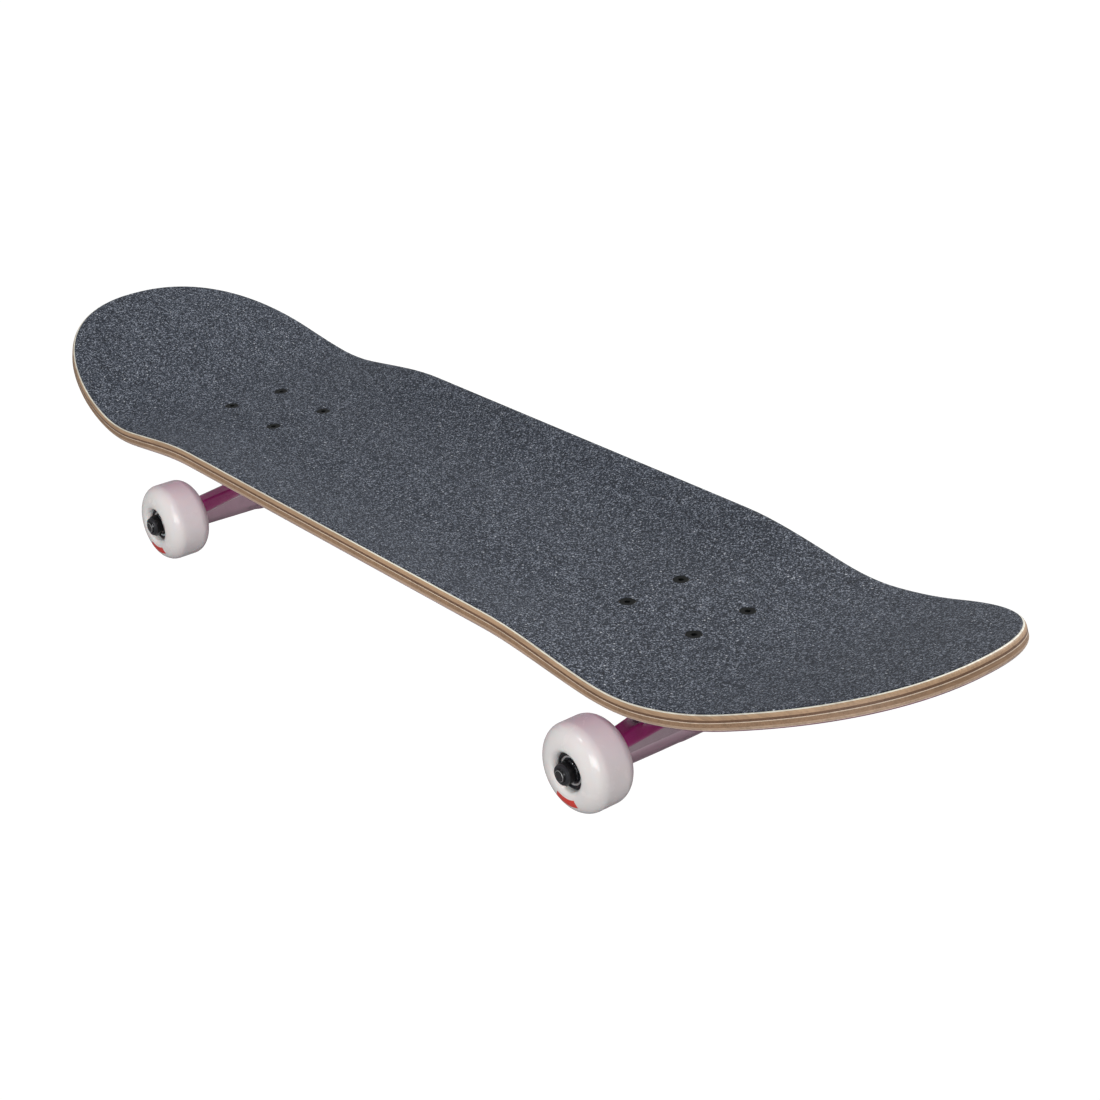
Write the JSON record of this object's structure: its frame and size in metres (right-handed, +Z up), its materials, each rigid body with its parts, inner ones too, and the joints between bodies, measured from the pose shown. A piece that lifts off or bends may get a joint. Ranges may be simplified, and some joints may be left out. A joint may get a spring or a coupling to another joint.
{
  "type": "skateboard",
  "caption": "Double-kick laminated maple skateboard with griptape, two steerable aluminium trucks and white urethane wheels on ball bearings.",
  "frame": {"origin": "on the floor, under the middle of the box around the whole board", "axes": "+X points to the nose, +Y to the rider's left when facing the nose, +Z up; the wheels stand on z = 0"},
  "size_m": [0.8196, 0.2092, 0.1387],
  "materials": {
    "griptape": "coarse dark blue-grey abrasive sheet",
    "maple_light": "sanded maple veneer",
    "maple_dark": "sanded stained maple veneer",
    "lacquered_maple": "maple veneer with magenta lacquer underneath",
    "black_steel": "blackened steel",
    "truck_aluminium": "polished casting",
    "pivot_urethane": "hard black urethane",
    "bushing_urethane": "soft white urethane",
    "wheel_urethane": "glossy white urethane",
    "shield_black": "black bearing shield",
    "bearing_steel": "ground bearing steel",
    "steel": "zinc-plated steel"
  },
  "bodies": {
    "deck": {"griptape": "griptape", "ply_1": "maple_light", "ply_2": "maple_light", "ply_3": "maple_dark", "ply_4": "maple_light", "ply_5": "maple_dark", "ply_6": "maple_light", "ply_7": "lacquered_maple", "mounting_bolts": "black_steel", "mounting_nuts": "black_steel", "front_baseplate": "truck_aluminium", "front_pivot_cup": "pivot_urethane", "front_kingpin": "steel", "front_kingpin_nut": "black_steel", "front_board_side_washer": "steel", "front_board_side_bushing": "bushing_urethane", "front_road_side_bushing": "bushing_urethane", "front_road_side_washer": "steel", "rear_baseplate": "truck_aluminium", "rear_pivot_cup": "pivot_urethane", "rear_kingpin": "steel", "rear_kingpin_nut": "black_steel", "rear_board_side_washer": "steel", "rear_board_side_bushing": "bushing_urethane", "rear_road_side_bushing": "bushing_urethane", "rear_road_side_washer": "steel"},
    "front_hanger_body": {"front_hanger": "truck_aluminium", "front_axle": "steel", "front_speed_washers": "steel", "front_axle_nuts": "black_steel", "front_left_inner_races": "bearing_steel", "front_left_spacer": "steel", "front_right_inner_races": "bearing_steel", "front_right_spacer": "steel"},
    "rear_hanger_body": {"rear_hanger": "truck_aluminium", "rear_axle": "steel", "rear_speed_washers": "steel", "rear_axle_nuts": "black_steel", "rear_left_inner_races": "bearing_steel", "rear_left_spacer": "steel", "rear_right_inner_races": "bearing_steel", "rear_right_spacer": "steel"},
    "front_left_wheel_body": {"front_left_wheel": "wheel_urethane", "front_left_outer_races": "bearing_steel", "front_left_shields": "shield_black"},
    "front_left_balls": {"front_left_ball_set": "bearing_steel"},
    "front_right_wheel_body": {"front_right_wheel": "wheel_urethane", "front_right_outer_races": "bearing_steel", "front_right_shields": "shield_black"},
    "front_right_balls": {"front_right_ball_set": "bearing_steel"},
    "rear_left_wheel_body": {"rear_left_wheel": "wheel_urethane", "rear_left_outer_races": "bearing_steel", "rear_left_shields": "shield_black"},
    "rear_left_balls": {"rear_left_ball_set": "bearing_steel"},
    "rear_right_wheel_body": {"rear_right_wheel": "wheel_urethane", "rear_right_outer_races": "bearing_steel", "rear_right_shields": "shield_black"},
    "rear_right_balls": {"rear_right_ball_set": "bearing_steel"}
  },
  "joints": [
    {"name": "front_steer", "type": "hinge", "parent": "deck", "child": "front_hanger_body", "pos_m": [0.18895, 0, 0.049], "axis": [0.8852, 0, 0.4653], "range_deg": [-15, 15], "stiffness_Nm_per_rad": 30, "deforming": ["front_board_side_bushing", "front_road_side_bushing"]},
    {"name": "rear_steer", "type": "hinge", "parent": "deck", "child": "rear_hanger_body", "pos_m": [-0.20403, 0, 0.049], "axis": [-0.8852, 0, 0.4653], "range_deg": [-15, 15], "stiffness_Nm_per_rad": 30, "deforming": ["rear_board_side_bushing", "rear_road_side_bushing"]},
    {"name": "front_left_wheel_spin", "type": "hinge", "parent": "front_hanger_body", "child": "front_left_wheel_body", "pos_m": [0.21215, 0.084, 0.0265], "axis": [0, 1, 0], "continuous": true},
    {"name": "front_left_ball_spin", "type": "hinge", "parent": "front_hanger_body", "child": "front_left_balls", "pos_m": [0.21215, 0.084, 0.0265], "axis": [0, 1, 0], "continuous": true},
    {"name": "front_right_wheel_spin", "type": "hinge", "parent": "front_hanger_body", "child": "front_right_wheel_body", "pos_m": [0.21215, -0.084, 0.0265], "axis": [0, 1, 0], "continuous": true},
    {"name": "front_right_ball_spin", "type": "hinge", "parent": "front_hanger_body", "child": "front_right_balls", "pos_m": [0.21215, -0.084, 0.0265], "axis": [0, 1, 0], "continuous": true},
    {"name": "rear_left_wheel_spin", "type": "hinge", "parent": "rear_hanger_body", "child": "rear_left_wheel_body", "pos_m": [-0.22723, 0.084, 0.0265], "axis": [0, 1, 0], "continuous": true},
    {"name": "rear_left_ball_spin", "type": "hinge", "parent": "rear_hanger_body", "child": "rear_left_balls", "pos_m": [-0.22723, 0.084, 0.0265], "axis": [0, 1, 0], "continuous": true},
    {"name": "rear_right_wheel_spin", "type": "hinge", "parent": "rear_hanger_body", "child": "rear_right_wheel_body", "pos_m": [-0.22723, -0.084, 0.0265], "axis": [0, 1, 0], "continuous": true},
    {"name": "rear_right_ball_spin", "type": "hinge", "parent": "rear_hanger_body", "child": "rear_right_balls", "pos_m": [-0.22723, -0.084, 0.0265], "axis": [0, 1, 0], "continuous": true}
  ],
  "couplings": [
    {"joint": "front_left_ball_spin", "follows": "front_left_wheel_spin", "ratio": 0.6323},
    {"joint": "front_right_ball_spin", "follows": "front_right_wheel_spin", "ratio": 0.6323},
    {"joint": "rear_left_ball_spin", "follows": "rear_left_wheel_spin", "ratio": 0.6323},
    {"joint": "rear_right_ball_spin", "follows": "rear_right_wheel_spin", "ratio": 0.6323}
  ]
}
